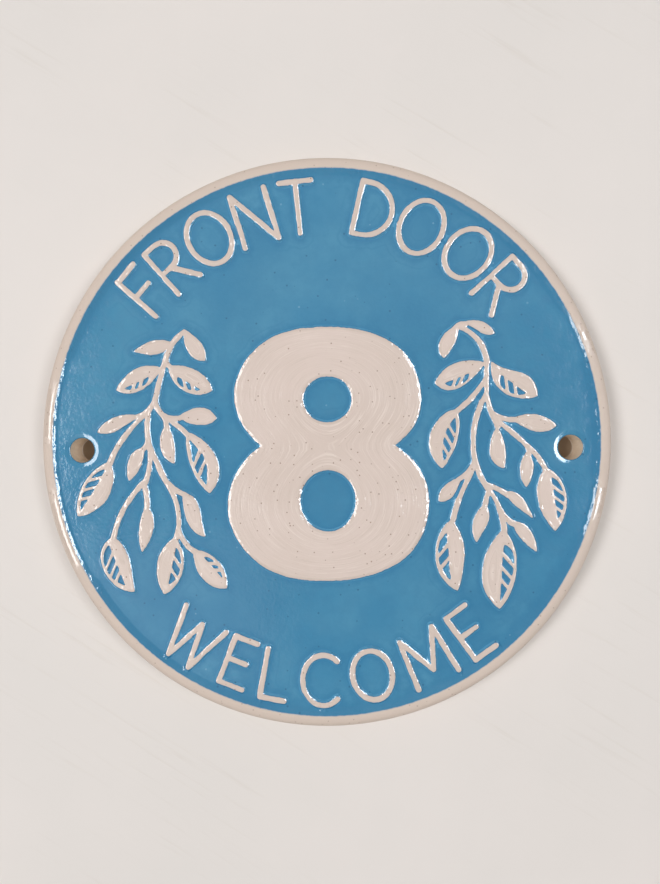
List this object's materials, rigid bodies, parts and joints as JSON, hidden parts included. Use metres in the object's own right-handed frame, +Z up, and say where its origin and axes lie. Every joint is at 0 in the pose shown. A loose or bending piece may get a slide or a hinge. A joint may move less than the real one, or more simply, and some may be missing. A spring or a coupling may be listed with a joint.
{
  "type": "house number plaque",
  "caption": "Round glazed clay plaque with a carved figure eight between leafy sprays, a plain raised rim and a screw hole at each side for fixing flat to a wall.",
  "frame": {"origin": "middle of the flat back, on the wall", "axes": "+Z up, +X to the right as the face is read, -Y out of the face, +Y into the wall"},
  "size_m": [0.18, 0.011, 0.18],
  "materials": {
    "glazed_clay": "gloss"
  },
  "bodies": {
    "root": {"plaque": "glazed_clay"}
  },
  "joints": []
}
